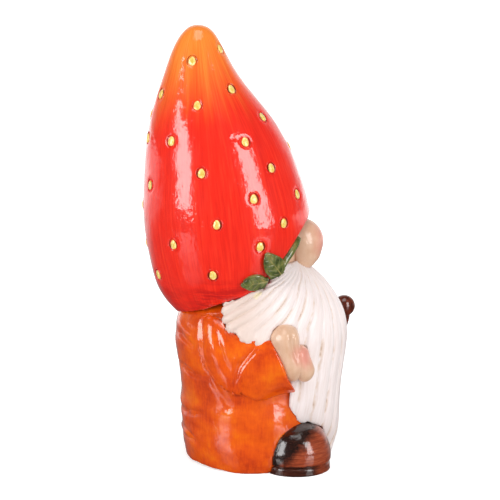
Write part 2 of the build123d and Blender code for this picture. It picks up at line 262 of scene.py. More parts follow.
def start_material(name):
    """An empty material, and the coordinates of the piece that wears it."""
    material = bpy.data.materials.new(name)
    material.use_nodes = True
    tree = material.node_tree
    tree.nodes.clear()
    return material, tree, add(tree, "TexCoord").outputs["Object"]


def glaze(tree, colour, where, brush=None, brush_height=0.10, gloss=0.035, coat=1.0):
    """Paint under clear glaze. Brush marks, if any, stand brush_height millimetres high."""
    wave = streaks(tree, where, (WAVE, WAVE, WAVE), detail=1)
    marks = streaks(tree, where, DRAG, detail=3, rough=0.55)
    skin = streaks(tree, where, (PINHOLE, PINHOLE, PINHOLE), detail=2)
    pits = add(tree, "MapRange", {0: skin, 1: 0.23, 2: 0.31}, **EASED)
    swell = add(tree, "Bump", {"Height": wave, "Distance": WAVE_HEIGHT * MM, "Strength": 0.55})
    dragged = add(tree, "Bump", {
        "Height": marks, "Distance": DRAG_HEIGHT * MM, "Strength": 1, "Normal": swell})
    pitted = under = add(tree, "Bump", {
        "Height": pits, "Distance": PINHOLE_DEPTH * MM, "Strength": 0.4, "Normal": dragged})
    if brush is not None:
        under = add(tree, "Bump", {
            "Height": brush, "Distance": brush_height * MM, "Strength": 1, "Normal": swell})
    roughness = add(tree, "MapRange", {0: wave, 1: 0.3, 2: 0.7, 3: 0.30, 4: 0.42}, **EASED)
    shader = add(tree, "BsdfPrincipled", {
        "Base Color": colour, "Roughness": roughness, "IOR": GLAZE_IOR,
        "Specular IOR Level": STAIN_SHINE,
        "Coat Weight": coat, "Coat Roughness": gloss, "Coat IOR": GLAZE_IOR,
        "Normal": under, "Coat Normal": pitted})
    add(tree, "OutputMaterial", {"Surface": shader})


# %% Dress a piece: paint, body and nodes
def dress(piece, material, slot, *nodes):
    """Paint a piece, say what it rides on, and hide the nodes that it stands for."""
    piece.data.materials.clear()
    piece.data.materials.append(material)
    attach(piece, "root")
    if nodes:
        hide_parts(*nodes)
    print(piece.name, "wears", material.name)


# %% [markdown]
# ## The hat
# The hat is a hollow cone like a berry, thrown off centre so that it leans back. Its surface is a
# mould-cast curve with a slight thumb-worked unevenness. A lathe or a spin would give a perfect
# cone, so the casting is copied as clay instead and pushed a little out of true.

# %% Cast the hat
hat = cast("hat", "hat_shell", grain=1.6, sponge=5)
push(hat, lambda p: 0.9 * uneven(p, (48, 48, 60), 3.1) + 0.25 * uneven(p, (14, 14, 26), 7.7))

# %% [markdown]
# The paint was brushed from rim to tip, so its streaks run up the cone. Plain object coordinates
# would slice through the lean. A point's bearing round the hat's own axis, wrapped on a drum, makes a
# coordinate that runs up the cone and has no seam.

# %% A coordinate that follows the brush
DRUM = 60                # millimetres from the drum's axis to its side
HAT_FOOT_BACK = 20.0     # how far back the hat's axis stands at the rim, and at the tip
HAT_TIP_BACK = 46.5
hat_low, hat_high = (Vector(corner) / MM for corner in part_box("hat_shell"))
lean = (HAT_TIP_BACK - HAT_FOOT_BACK) / (hat_high.z - hat_low.z)
print("the hat leans back", round(lean, 3), "mm in each mm")


def hat_axis(height):
    """How far back the hat's own axis is at a height."""
    return HAT_FOOT_BACK + lean * (height - hat_low.z)


def wrap(piece):
    """Store `stroke`: every point thrown onto a drum round the hat's axis, in metres."""
    points = points_of(piece)
    bearing = np.arctan2(points[:, 0], -(points[:, 1] - hat_axis(points[:, 2])))
    drum = np.stack([DRUM * np.sin(bearing), -DRUM * np.cos(bearing), points[:, 2]], axis=1)
    mark(piece, "stroke", drum * MM)


wrap(hat)

# %% [markdown]
# The hat's finish is a red stain in fine upright streaks. It thins to orange at the tip, has darker dabs
# low on the front, and is darkest where glaze pools in a dimple. A picture could be painted for all
# this, but noise in the brushed coordinates, read through colour ramps, needs no picture and no seam.


# %% Red stain, thinning to orange at the tip
def berry_red():
    material, tree, place = start_material("brushed_red_stain_under_glaze")
    stroke = add(tree, "Attribute", attribute_name="stroke").outputs["Vector"]
    _, back, height = add(tree, "SeparateXYZ", {0: place}).outputs
    fine = streaks(tree, stroke, (1.6, 1.6, 42), detail=4, rough=0.7)
    broad = streaks(tree, stroke, (9, 9, 70), detail=2)
    red = add(tree, "ValToRGB", {0: fine}, [(0.30, "#DE1E0E"), (0.50, "#EE2716"), (0.72, "#F63B21")])
    thick = add(tree, "MapRange", {0: broad, 1: 0.50, 2: 0.72, 4: 0.45}, **EASED)
    red = add(tree, "Mix", {0: thick, 6: red, 7: "#D71A10"}, **COLOURS)

    orange = add(tree, "ValToRGB", {0: fine}, [(0.25, "#F0701A"), (0.5, "#F98A2E"), (0.75, "#FFA048")])
    tilted = add(tree, "Math", {0: back, 1: 0.2, 2: height}, operation="MULTIPLY_ADD")
    ragged = add(tree, "Math", {0: broad, 1: 0.050, 2: tilted}, operation="MULTIPLY_ADD")
    to_tip = add(tree, "MapRange", {0: ragged, 1: 0.340, 2: 0.435}, **EASED)
    colour = add(tree, "Mix", {0: to_tip, 6: red, 7: orange}, **COLOURS)

    dabs = streaks(tree, stroke, (30, 30, 5), detail=4, rough=0.7)
    dabbed = add(tree, "MapRange", {0: dabs, 1: 0.40, 2: 0.60}, **EASED)
    low = add(tree, "MapRange", {0: height, 1: 0.186, 2: 0.160}, **EASED)
    front = add(tree, "MapRange", {0: back, 1: 0.056, 2: 0.040, 3: 0.35}, **EASED)
    both = add(tree, "Math", {0: low, 1: dabbed}, operation="MULTIPLY")
    dark = add(tree, "Math", {0: both, 1: front}, operation="MULTIPLY")
    colour = add(tree, "Mix", {0: dark, 6: colour, 7: "#BE1412"}, **COLOURS)

    pool = add(tree, "Attribute", attribute_name="pool").outputs["Fac"]
    pooled = add(tree, "MapRange", {0: pool, 1: 0.15, 2: 0.9, 4: 0.92}, **EASED)
    colour = add(tree, "Mix", {0: pooled, 6: colour, 7: "#8A150E"}, **COLOURS)
    glaze(tree, colour, place, brush=fine, gloss=0.03)
    return material


dress(hat, berry_red(), "red_glaze", "hat_shell")

# %% [markdown]
# ## Seeds in dimples
# Each seed sits in a dimple with a thin raised lip, where a tool was pressed into the wet clay. The
# glaze runs into the dimple and pools there, so it looks dark. The casting is too coarse for a lip
# under a millimetre high. So one fine cup is made by insetting a disc, and copied into every dimple.


# %% Find the seeds
def loose_parts(node):
    """The points of each separate solid of a node, in millimetres."""
    copy_casting(node, "parts")
    bpy.ops.object.mode_set(mode="EDIT")
    bpy.ops.mesh.separate(type="LOOSE")
    bpy.ops.object.mode_set(mode="OBJECT")
    pieces = list(bpy.context.selected_objects)
    parts = [points_of(piece) for piece in pieces]
    for piece in pieces:
        bpy.data.objects.remove(piece)
    return parts


def main_axes(points):
    """The points about their middle, and their own axes, from the longest to the shortest."""
    spread = points - points.mean(axis=0)
    return spread, np.linalg.svd(spread, full_matrices=False)[2]


seed_parts = loose_parts("hat_seeds")
print("seeds:", len(seed_parts))

# %% Find where a seed's dimple opens
DIMPLE_REACH = 7.0       # millimetres from a dimple's middle to plain skin all round it
OUTSIDE = 20             # far enough off the skin to look back at it
hat_skin = BVHTree.FromObject(hat, bpy.context.evaluated_depsgraph_get())


def across_facing(facing):
    """The way up, and the way to the side, on a plane that faces this way."""
    up = (Vector((0, 0, 1)) - facing * facing.z).normalized()
    return up, up.cross(facing)


def seat(points):
    """The middle of a seed's dimple on the hat's skin, and the way it faces, as a matrix."""
    middle = Vector(points.mean(axis=0))
    facing = Vector(main_axes(points)[1][2])
    if facing.dot(middle - Vector((0, HAT_TIP_BACK, middle.z))) < 0:
        facing = -facing
    up, side = across_facing(facing)
    hits = []
    for angle in range(0, 360, 30):
        turn = radians(angle)
        start = middle + DIMPLE_REACH * (side * cos(turn) + up * sin(turn)) + OUTSIDE * facing
        place, normal = hat_skin.ray_cast(start * MM, -facing)[:2]
        if place:
            hits.append((place / MM, normal))
    level = sum((place - middle).dot(facing) for place, normal in hits) / len(hits)
    facing = sum((normal for place, normal in hits), Vector()).normalized()
    up, side = across_facing(facing)
    turned = Matrix((side, up, facing)).transposed().to_4x4()
    return Matrix.Translation((middle + facing * level) * MM) @ turned


seats = [seat(points) for points in seed_parts]
print("first seat:", [round(v / MM, 1) for v in seats[0].translation])

# %% [markdown]
# Five listed seeds are set further round the hat. Each old dimple is filled and a new one is pressed,
# as a potter would with a thumb of clay and the end of a tool.

# %% Move five seeds
# where a seed is, as bearing in degrees and height in millimetres, and how many degrees it goes round
MOVED_ROUND = {(67, 302): -9, (108, 334): -8, (98, 231): -8, (131, 302): -4, (157, 299): 11}
SAME_BEARING, SAME_HEIGHT = 3, 4
DIMPLE_DEPTH = 1.6
DIMPLE_AREA = 26         # square millimetres: the dimple is flat inside this, and steep at its edge


def moved_round(points):
    """A seed's points, turned round the hat's axis if it is one of the five."""
    x, y, height = points.mean(axis=0)
    middle = np.array((0, hat_axis(height), 0))
    bearing = np.degrees(np.arctan2(-x, middle[1] - y))
    for (there, level), degrees in MOVED_ROUND.items():
        if abs(bearing - there) < SAME_BEARING and abs(height - level) < SAME_HEIGHT:
            turn = np.array(Matrix.Rotation(radians(-degrees), 3, "Z"))
            return (points - middle) @ turn.T + middle
    return points


def dimple(points, opening):
    """The depth of a dimple at each point, from where it opens."""
    away = np.linalg.norm(points - np.array(opening.translation) / MM, axis=1)
    return DIMPLE_DEPTH * near(away ** 2, 0, DIMPLE_AREA)


new_seats = [seat(moved_round(points)) for points in seed_parts]
moves = [(old, new) for old, new in zip(seats, new_seats) if old != new]
for old, new in moves:
    push(hat, lambda p: dimple(p, old) - dimple(p, new))
seats = new_seats
print("seeds moved:", len(moves))


# %% Copy one model into every seat
def plant(name, model, places):
    """Copies of a model, each with its own mesh, joined as one piece."""
    copies = []
    for place in places:
        copy = bpy.data.objects.new(name, model.data.copy())
        copy.matrix_world = place
        bpy.context.scene.collection.objects.link(copy)
        copies.append(copy)
    pick(copies[0])
    for copy in copies:
        copy.select_set(True)
    bpy.ops.object.join()
    bpy.ops.object.transform_apply()
    bpy.data.objects.remove(model)
    piece = copies[0]
    piece.name = piece.data.name = name
    print(name, "copies:", len(places), "faces:", len(piece.data.polygons))
    return piece


# %% [markdown]
# The cup starts as a disc just under the hat's skin. Each inset makes a ring, and each move sets that
# ring's height: up to the lip, then down into the dimple. The disc is an oval, taller than wide.

# %% Model the cup
CUP_OUTSIDE = 6.6
CUP_OVAL = (0.93, 1.05)  # its width and its height, as shares
CUP_SUNK = 0.75
CUP_RINGS = ((0.6, 1.05), (0.45, 0.10), (0.5, -1.10), (1.1, -0.35))   # inset, then rise
POOL_EDGE = 5.75         # glaze pools inside this radius, within a ring of POOL_FADE
POOL_FADE = 0.8

bpy.ops.object.select_all(action="DESELECT")
bpy.ops.mesh.primitive_circle_add(vertices=20, radius=CUP_OUTSIDE * MM, fill_type="NGON")
cup = bpy.context.object
cup.scale = (*CUP_OVAL, 1)
bpy.ops.object.transform_apply(location=False, rotation=False, scale=True)
bpy.ops.object.mode_set(mode="EDIT")
bpy.ops.mesh.select_all(action="SELECT")
bpy.ops.transform.translate(value=(0, 0, -CUP_SUNK * MM))
for inset, rise in CUP_RINGS:
    bpy.ops.mesh.inset(thickness=inset * MM)
    bpy.ops.transform.translate(value=(0, 0, rise * MM))
bpy.ops.object.mode_set(mode="OBJECT")
finish_with(cup, "SUBSURF", levels=2, render_levels=2)
bpy.ops.object.shade_smooth()
cup_points = points_of(cup)
cup_radius = np.hypot(cup_points[:, 0] / CUP_OVAL[0], cup_points[:, 1] / CUP_OVAL[1])
mark(cup, "pool", np.clip((POOL_EDGE - cup_radius) / POOL_FADE, 0, 1))
cups = plant("dimple_cups", cup, seats)
wrap(cups)

# %% [markdown]
# A seed is a flat drop, blunter below. It starts as a ball, pressed flat and narrowed towards its top
# by proportional scaling: the points follow a taper, as a thumb would draw them out.

# %% Model a seed
SEED_FIT = (0.94, 0.94, 1.1)     # a ball's width, length and thickness beside the casting's
SEED_WAIST = 0.93
NARROWER, THINNER = 0.16, 0.12   # what a seed loses towards its top, and gains towards its foot
spans = [np.ptp(spread @ axes.T, axis=0) for spread, axes in map(main_axes, seed_parts)]
seed_long, seed_wide, seed_thick = np.mean(spans, axis=0)
print("seed:", round(seed_long, 1), "x", round(seed_wide, 1), "x", round(seed_thick, 1), "mm")

bpy.ops.object.select_all(action="DESELECT")
bpy.ops.mesh.primitive_uv_sphere_add(segments=24, ring_count=14, radius=0.5 * MM)
seed = bpy.context.object
seed.scale = [fit * size for fit, size in zip(SEED_FIT, (seed_wide, seed_long, seed_thick))]
bpy.ops.object.transform_apply(location=False, rotation=False, scale=True)
seed_points = points_of(seed)
climb = seed_points[:, 1] / (seed_long / 2)
seed_points[:, 0] *= SEED_WAIST - NARROWER * climb
seed_points[:, 2] *= 1 - THINNER * climb
put_points(seed, seed_points)
bpy.ops.object.shade_smooth()
from_heart = np.hypot(seed_points[:, 0] / seed_wide, seed_points[:, 1] / seed_long) * 2
mark(seed, "heart", np.clip(1 - from_heart, 0, 1))
seeds = plant("seeds", seed, seats)
push(seeds, lambda p: 0.28 * uneven(p, (3.1, 3.1, 3.1), 5.2))

# %% [markdown]
# The seeds were dabbed with a thick, opaque yellow glaze, which is paler where it lies thin and a
# little green at its heart. Three colours in a ramp and a heart stored on the model give that.


# %% Yellow glaze for the seeds
def seed_yellow():
    material, tree, place = start_material("yellow_glaze_dabbed_on")
    dabs = streaks(tree, place, (2.2, 2.2, 2.8), detail=3)
    yellow = add(tree, "ValToRGB", {0: dabs}, [(0.30, "#E3B650"), (0.46, "#F2CF66"), (0.68, "#FDEBA6")])
    heart = add(tree, "Attribute", attribute_name="heart").outputs["Fac"]
    middle = add(tree, "MapRange", {0: heart, 1: 0.25, 2: 0.75, 4: 0.40}, **EASED)
    colour = add(tree, "Mix", {0: middle, 6: yellow, 7: "#CFB84A"}, **COLOURS)
    glaze(tree, colour, place, gloss=0.08)
    return material


dress(cups, hat.data.materials[0], "red_glaze")
dress(seeds, seed_yellow(), "yellow_glaze", "hat_seeds")

# %% [markdown]
# ## The calyx
# The leaves under the berry were cut from thin slabs and laid on the hat's rim. Each has a midrib and
# side veins drawn with a needle, and edges pressed down. A leaf's own length and width are found from
# its points, so one function draws the veins on all of them, whichever way they lie.

# %% One leaf
VEIN_GAP = 6.5           # millimetres between side veins, along the midrib
VEIN_DEPTH = 0.55
SLENDER_SHORTER = 0.09   # the slender leaves dried shorter, by this share
SLENDER_PLUMP = 1.9


def leaf_axes(points, base):
    """Distances along a leaf from its base, and across it from its midrib."""
    spread, (length, width, _) = main_axes(points)
    if (np.array(base) - points.mean(axis=0)) @ length > 0:
        length = -length
    far = spread @ length
    return far - far.min(), spread @ width


def leaf(name, node, base, slender):
    """Cast a leaf, draw its veins and plump it up between them."""
    piece = cast(name, node, grain=0.55, sponge=16 if slender else 5)
    if slender:
        shift(piece, lambda p: SLENDER_SHORTER * (np.array(base) - p))
    far, wide = leaf_axes(points_of(piece), base)
    share = far / far.max()
    half_width = 0.5 * np.ptp(wide) * np.sin(pi * np.clip(share, 0.1, 0.9))
    inside = np.clip(1 - np.abs(wide) / (half_width + 0.5), 0, 1)
    drawn = near(wide, 0, 0.9) * (1 - 0.6 * share)
    if slender:
        drawn = 0.3 * drawn
        plump = SLENDER_PLUMP
    else:
        wavy = far - 0.95 * np.abs(wide) + 1.2 * uneven(points_of(piece), (6, 6, 6), 3.7)
        veins = near(wavy / VEIN_GAP % 1, 0.5, 0.10) * np.clip(inside * 3, 0, 1)
        drawn = np.maximum(drawn, 0.7 * veins)
        plump = 0.9 * np.sqrt(inside) + 0.7 * near(inside, 0.16, 0.10)
    push(piece, lambda p: plump - VEIN_DEPTH * drawn + 0.5 * uneven(p, (9, 9, 9), 2.4))
    mark(piece, "vein", drawn)
    return piece


# %% [markdown]
# Green underglaze was washed over the leaves and broke from near black to straw where it ran thin, and
# the needle's lines took a paler slip. The stored veins are multiplied by noise, so that they fade in
# places as drawn lines do.


# %% Green underglaze
def leaf_green():
    material, tree, place = start_material("green_underglaze_leaf")
    wash = streaks(tree, place, (7, 7, 7), detail=4)
    colour = add(tree, "ValToRGB", {0: wash}, [
        (0.30, "#232A10"), (0.42, "#4A5628"), (0.56, "#687038"), (0.72, "#97864C")])
    drawn = add(tree, "Attribute", attribute_name="vein").outputs["Fac"]
    deep = add(tree, "MapRange", {0: drawn, 1: 0.35, 2: 0.9}, **EASED)
    thin = streaks(tree, place, (3, 3, 3), detail=2)
    line = add(tree, "Math", {0: deep, 1: thin}, operation="MULTIPLY")
    colour = add(tree, "Mix", {0: line, 6: colour, 7: "#B9A763"}, **COLOURS)
    glaze(tree, colour, place, gloss=0.03)
    return material


HANDS = ("right", "left")
LEAF_FOOT = {"right": (-62, -20, 172), "left": (62, -20, 172)}   # where a side's leaves meet
green = leaf_green()
for hand in HANDS:
    for place in ("front", "side", "back"):
        node = f"{hand}_{place}_leaf"
        piece = leaf(node + "_veined", node, LEAF_FOOT[hand], slender=place == "front")
        dress(piece, green, "green_glaze", node)

# %% [markdown]
# ## The nose and the head
# A ball nose is pressed on below the brow and its foot smeared onto the beard. Skin stain is thin and
# warm, with a pink blush rubbed on where the sun would catch it. The blush is a distance from one spot,
# made patchy by the wash's own noise, so it needs no coordinates of its own.


# %% Skin stain with a blush
def skin(name, spot, reach):
    """Skin under glaze. The blush lies round a spot, and fades out `reach` metres from it."""
    material, tree, place = start_material(name)
    wash = streaks(tree, place, (12, 12, 16), detail=4)
    bare = add(tree, "ValToRGB", {0: wash}, [(0.30, "#CFA384"), (0.50, "#D8B093"), (0.70, "#DFBBA1")])
    away = add(tree, "VectorMath", {0: place, 1: spot}, operation="DISTANCE").outputs["Value"]
    patchy = add(tree, "Math", {0: wash, 1: 0.014, 2: away}, operation="MULTIPLY_ADD")
    blush = add(tree, "MapRange", {0: patchy, 1: reach, 2: 0.4 * reach, 4: 0.85}, **EASED)
    colour = add(tree, "Mix", {0: blush, 6: bare, 7: "#DE8F80"}, **COLOURS)
    glaze(tree, colour, place, gloss=0.12, coat=0.55)
    return material


# %% Cast the nose and the head
NOSE_FOOT = 184          # the height at which the nose was smeared wider
nose = cast("ball_nose", "nose", grain=0.9, sponge=10)
push(nose, lambda p: 0.3 + 0.35 * uneven(p, (16, 16, 16), 4.0) + 3.2 * near(p[:, 2], NOSE_FOOT, 7))
dress(nose, skin("skin_glaze_nose", (0, -0.070, 0.203), 0.034), "skin_glaze", "nose")

head = cast("head_form", "head_core", grain=1.8, sponge=4)
dress(head, nose.data.materials[0], "skin_glaze", "head_core")

# %% [markdown]
# ## The beard
# The beard was carved while leather-hard: long locks fan out from under the nose and bend down until
# they hang straight. Carving each lock by hand would take hundreds of curves. One formula gives them
# all. A lock keeps the same number while its bearing round the beard widens with the drop below the nose.

# %% Number the locks
BEARD_AXIS = -20         # the fan opens round an upright line here, front to back
FAN_START = 4            # millimetres above the beard at which the locks would meet
FAN_OPENING = 30         # drop at which a lock has opened half its fan
LOCK_BENDS = (FAN_START, 14, 26, 62, 200)    # drops at which a lock bends
LOCKS = 18               # locks all round, if the beard went all round
LOCK_WIDE = 8
beard_high = Vector(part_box("beard")[1]) / MM
print("the beard's top:", round(beard_high.z, 1), "mm")


def lock_number(points):
    """Whole numbers run down the middle of a lock, halves down the furrows. Also each point's drop."""
    bearing = np.arctan2(points[:, 0], -(points[:, 1] - BEARD_AXIS))
    drop = np.clip(beard_high.z + FAN_START - points[:, 2], FAN_START, None)
    bends = np.array(LOCK_BENDS)
    opened = np.interp(drop, bends, bends / (bends + FAN_OPENING))
    return bearing / (2 * pi) / opened * LOCKS, drop


# %% Carve the locks
FURROW = 0.9             # millimetres deep under the nose, and as much again lower down
FURROW_LOWER = 1.1
TWIN = 0.45              # the line that parts a lock in two
HAIR = 0.25


def carve(points):
    """Furrows between the locks, patchy lines that part them, and hairs."""
    number, drop = lock_number(points)
    opened = np.clip((drop - 10) / 25, 0, 1)
    wander = 0.12 * opened * uneven(points, (18, 18, 40), 1.3)
    lock = np.abs(np.cos(pi * (number + wander)))
    twin = np.abs(np.cos(pi * (2 * (number + wander) + 0.5)))
    hair = np.abs(np.sin(pi * (number * 4.3 + 6 * wander)))
    patchy = opened * np.clip(0.5 + 1.2 * uneven(points, (18, 18, 42), 6.1), 0, 1)
    main = (FURROW + FURROW_LOWER * opened) * (1 - lock) ** 1.15
    return -main - TWIN * patchy * (1 - twin) ** 1.5 - HAIR * opened * (1 - hair) ** 1.4


# %% Lap the whiskers over the sleeves, and press the mitten in
WHISKER_EDGE = ((-62, 19, 139), (-68, 14, 131), (-73, 8, 124), (-75, 2, 121), (-75, -5, 125))
WHISKER_LAP = 4.0
MITTEN = ((-70, -38, 128), (-72, -48, 112), (-74, -48, 100))
FINGERS_AHEAD = -40      # the finger ends lie ahead of this, and below FINGERS_LOW
FINGERS_LOW = 118
PRESSED_BACK = 5.0
PRESSED_UP = 5.5


def whisker_lap(points):
    """The side locks end in round tips that lie over the sleeve."""
    tips = 0.7 + 0.3 * np.abs(np.cos(pi * lock_number(points)[0]))
    return WHISKER_LAP * near(away_from(points, WHISKER_EDGE), 0, 8) * tips


def tuck(points):
    """The mitten presses into the beard: its finger ends bend up and back, and the locks with them."""
    held = near(along(points, MITTEN)[0], 0, 20)
    back = held * np.clip((FINGERS_AHEAD - points[:, 1]) / 14, 0, 1.3)
    up = held * np.clip((FINGERS_LOW - points[:, 2]) / 22, 0, 1)
    return np.stack([0 * back, PRESSED_BACK * back, PRESSED_UP * up], axis=1)


# %% Cast the beard
DRAWN_DOWN = 5           # the beard's top was smoothed down, from BEARD_TOP upwards
BEARD_TOP = 166
LEAF_DRIP = ((-62, -5, 163), (-59, -9, 166))     # where yellow glaze ran from under the leaves

beard = cast("carved_beard", "beard", grain=1.15, sponge=3)
push(beard, lambda p: 0.6 + 0.6 * uneven(p, (30, 30, 44), 9.5))
shift(beard, lambda p: np.outer(np.clip((p[:, 2] - BEARD_TOP) / 26, 0, 1), (0, 0, -DRAWN_DOWN)))
smooth_beard = points_of(beard)
push(beard, whisker_lap)
push(beard, carve)
shift(beard, tuck)
number, drop = lock_number(smooth_beard)
mark(beard, "lock", np.stack([number * LOCK_WIDE, drop, 0 * drop], axis=1) * MM)
mark(beard, "groove", (1 - np.abs(np.cos(pi * number))) ** 3)
mark(beard, "drip", near(away_from(smooth_beard, LEAF_DRIP), 0, 3.0))
print("locks on one side:", round(np.ptp(number) / 2))

# %% [markdown]
# The beard is white slip. A thin tan wash was brushed over it and wiped off, so that it stays in the
# furrows. The locks further back, on the side and over the sleeves, are darkened with painted shade.
# The carving stored its own coordinates, down and across each lock, and the fine hairs are noise in
# those, so they follow every bend.


# %% White with a tan wash wiped off the high places
def beard_white():
    material, tree, place = start_material("white_slip_tan_wash_painted_shade")
    lock = add(tree, "Attribute", attribute_name="lock").outputs["Vector"]
    hairs = streaks(tree, lock, (0.9, 30, 10), detail=4, rough=0.65)
    colour = add(tree, "ValToRGB", {0: hairs}, [(0.25, "#E2D1CB"), (0.45, "#ECDFDC"), (0.70, "#F3E9E8")])

    groove = add(tree, "Attribute", attribute_name="groove").outputs["Fac"]
    broken = streaks(tree, lock, (6, 26, 10), detail=3)
    left_on = add(tree, "MapRange", {0: broken, 1: 0.42, 2: 0.62}, **EASED)
    wash = add(tree, "Math", {0: groove, 1: left_on}, operation="MULTIPLY")
    thin = add(tree, "MapRange", {0: wash, 1: 0.05, 2: 0.5, 4: 0.5}, **EASED)
    colour = add(tree, "Mix", {0: thin, 6: colour, 7: "#D9BCA4"}, **COLOURS)
    thick = add(tree, "MapRange", {0: wash, 1: 0.50, 2: 0.90, 4: 0.6}, **EASED)
    colour = add(tree, "Mix", {0: thick, 6: colour, 7: "#B08868"}, **COLOURS)

    back = add(tree, "SeparateXYZ", {0: place}).outputs[1]
    # painted shade: the locks further back, on the side and over the sleeves, are darkened towards tan
    outer = add(tree, "MapRange", {0: back, 1: -0.035, 2: 0.010, 4: 0.75}, **EASED)
    colour = add(tree, "Mix", {0: outer, 6: colour, 7: "#DCC4B6"}, **COLOURS)
    drip = add(tree, "Attribute", attribute_name="drip").outputs["Fac"]
    runny = add(tree, "Math", {0: drip, 1: streaks(tree, place, (4, 4, 4))}, operation="MULTIPLY")
    ran = add(tree, "MapRange", {0: runny, 1: 0.18, 2: 0.42, 4: 0.7}, **EASED)
    colour = add(tree, "Mix", {0: ran, 6: colour, 7: "#F6E6B4"}, **COLOURS)
    glaze(tree, colour, place, brush=hairs, brush_height=0.22, gloss=0.25, coat=0.25)
    return material


dress(beard, beard_white(), "white_glaze", "beard")

# %% [markdown]
# ## The coat
# The coat is one round casting whose back ripples as wet clay does when it is eased from the mould.
# The sleeves are separate rolls luted on, each with a fold at the bent elbow and a lip at the cuff.
# Sculpting by hand would serve, but a crease laid along a named line can be moved and tried again.

# %% Ripples on the coat
ARM_SEAM = ((-51, 47, 130), (-58, 41, 99), (-63, 32, 81), (-66, 18, 62), (-70, -5, 60), (-64, -32, 70))
BACK_STEPS = (
    ((12, 66, 121), (-28, 64, 121), (-46, 53, 115)),
    ((20, 64, 92), (-28, 62, 90), (-45, 53, 87), (-56, 40, 88)),
    ((6, 64, 49), (-25, 61, 47), (-42, 52, 50), (-52, 42, 52)),
    ((28, 58, 29), (-10, 63, 27), (-38, 54, 26), (-52, 40, 20)),
)
BACK_FLATTER = 2.0


def ripple(points):
    """A flatter, uneven back with soft steps, and a crease where each arm meets the body."""
    broad = 1.3 * uneven(points, (46, 46, 19), 2.2) + 0.7 * uneven(points, (20, 20, 12), 7.1)
    rolls = 0.3 + broad - BACK_FLATTER * np.clip((points[:, 1] - 5) / 35, 0, 1)
    for seam in (ARM_SEAM, mirrored(ARM_SEAM)):
        rolls = rolls + crease(points, seam, 0.9, 3.2)
    for step in BACK_STEPS:
        rolls = rolls + crease(points, step, 1.5, 2.6)
    return rolls


coat = push(cast("coat", "coat_shell", grain=1.7, sponge=6), ripple)

# %% Folds on the sleeves
ELBOW_FOLD = ((-76, -5, 122), (-77, -2, 117), (-77, 4, 110), (-76, 10, 102), (-73, 15, 92))
SHOULDER_FOLD = ((-67, 31, 133), (-70, 28, 122), (-73, 24, 110), (-74, 18, 101))
ARM_LINES = (ELBOW_FOLD, SHOULDER_FOLD, WHISKER_EDGE)
SHOULDER_SUNK = 3.5
UNDER_WHISKERS = 2.5     # how far a sleeve gives way to the whiskers over it
HANGS_BELOW = 104        # a sleeve hangs below this height, and from higher up behind the elbow
HANGS_DOWN = 19.0
HANGS_OUT = 5.0


def fold(points):
    """Folds at the elbow and the shoulder, with crumpled clay beside the elbow's."""
    shoulder = np.clip((points[:, 1] - 16) / 30, 0, 1) ** 2
    rolls = 0.5 + 0.9 * uneven(points, (26, 26, 22), 5.5) - SHOULDER_SUNK * shoulder
    for elbow_line, shoulder_line, edge in (ARM_LINES, [mirrored(line) for line in ARM_LINES]):
        beside = near(along(points, elbow_line)[0], 6, 9)
        rolls = rolls + 1.5 * beside * uneven(points, (10, 10, 10), 4.1)
        rolls = rolls + crease(points, elbow_line, 2.2, 2.4) + crease(points, shoulder_line, 1.4, 2.6)
        rolls = rolls - UNDER_WHISKERS * near(along(points, edge)[0], 0, 7)
    return rolls


def sag(points):
    """The sleeve hangs fuller under the elbow than it was cast."""
    level = HANGS_BELOW + 0.8 * np.clip(points[:, 1] - 8, 0, 30)
    low = np.clip((level - points[:, 2]) / 34, 0, 1) ** 1.3
    down = -HANGS_DOWN * low * near(points[:, 1], 9, 28)
    out = HANGS_OUT * low * near(points[:, 1], 15, 20) * np.sign(points[:, 0])
    return np.stack([out, 0 * down, down], axis=1)


sleeves = [cast(f"{hand}_sleeve_folded", f"{hand}_sleeve", grain=1.0, sponge=8) for hand in HANDS]
for sleeve in sleeves:
    shift(push(sleeve, fold), sag)

# %% [markdown]
# The coat's stain was brushed upright over broad blots, so it runs from yellow orange where it is thin
# to rust where it is thick. Fine upright streaks are added to wide blots, and one ramp reads the sum, as
# paint does: two thin coats make one thick one.


# %% Orange stain, brushed over blots
def orange_stain():
    material, tree, place = start_material("brushed_orange_stain_under_glaze")
    blots = streaks(tree, place, (26, 26, 18), detail=5, rough=0.6)
    upright = streaks(tree, place, (1.7, 1.7, 13), detail=4, rough=0.7)
    thick = add(tree, "Math", {0: upright, 1: 0.42, 2: blots}, operation="MULTIPLY_ADD")
    colour = add(tree, "ValToRGB", {0: thick}, [
        (0.52, "#EC6C04"), (0.64, "#E65A04"), (0.76, "#DC4E06"), (0.86, "#CE4208"), (0.98, "#BA3608")])
    glaze(tree, colour, place, brush=upright, brush_height=0.08, gloss=0.04)
    return material


orange = orange_stain()
dress(coat, orange, "orange_glaze", "coat_shell")
for hand, sleeve in zip(HANDS, sleeves):
    dress(sleeve, orange, "orange_glaze", f"{hand}_sleeve")

# %% [markdown]
# ## Hands
# The right hand is a mitten laid on the beard, its palm line pressed in with a stick. The left hand is
# closed round the walking stick. Both are soft rolls of clay, so a crease and a little unevenness are
# enough, and the mitten takes the same tuck as the locks that it lies on.

# %% Cast the hands
PALM_LINE = ((-75, -36, 134), (-80, -38, 125), (-80, -40, 116), (-80, -43, 105))
hand_right = shift(cast("right_mitten", "right_hand", grain=0.8, sponge=8), tuck)
push(hand_right, lambda p: 0.9 + crease(p, PALM_LINE, 1.8, 2.6) + 0.6 * uneven(p, (14, 14, 14), 3.3))
dress(hand_right, skin("skin_glaze_hand", (-0.077, -0.052, 0.113), 0.026), "skin_glaze", "right_hand")

hand_left = cast("left_fist", "left_hand", grain=0.7, sponge=5)
push(hand_left, lambda p: 0.3 + 0.4 * uneven(p, (11, 11, 11), 3.3))
dress(hand_left, nose.data.materials[0], "skin_glaze", "left_hand")

